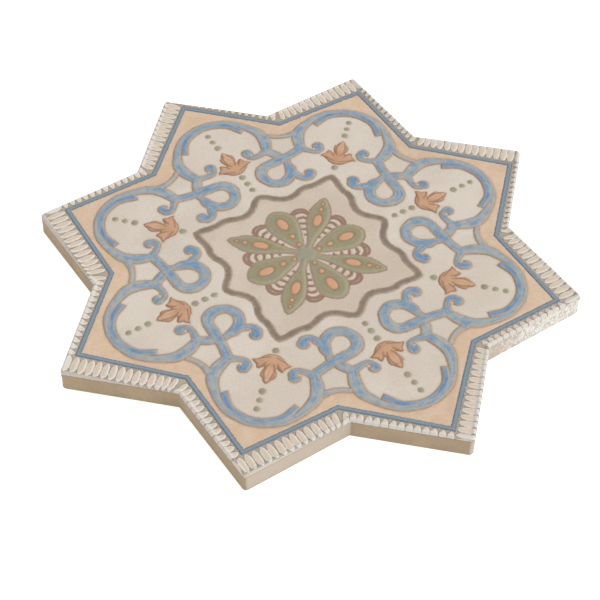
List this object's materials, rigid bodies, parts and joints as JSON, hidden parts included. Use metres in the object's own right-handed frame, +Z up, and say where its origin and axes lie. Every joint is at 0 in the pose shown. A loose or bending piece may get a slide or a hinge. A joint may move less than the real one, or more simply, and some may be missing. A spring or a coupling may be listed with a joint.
{
  "type": "eight-pointed star tile",
  "caption": "Flat fired-clay wall or floor tile shaped as an eight-pointed star, with a low-relief ornamented face, a flat bedding face and straight edges for grout joints.",
  "frame": {"origin": "centre of the bedding face, on the plane the tile lies on", "axes": "+Z is up out of the ornamented face; +X and +Y each run to a point of the star, and -X and -Y to the opposite points"},
  "size_m": [0.2272, 0.2272, 0.01],
  "materials": {
    "fired_clay": "matt fired clay, painted on the face and bare on the sides and back"
  },
  "bodies": {
    "root": {"star_tile": "fired_clay"}
  },
  "joints": []
}
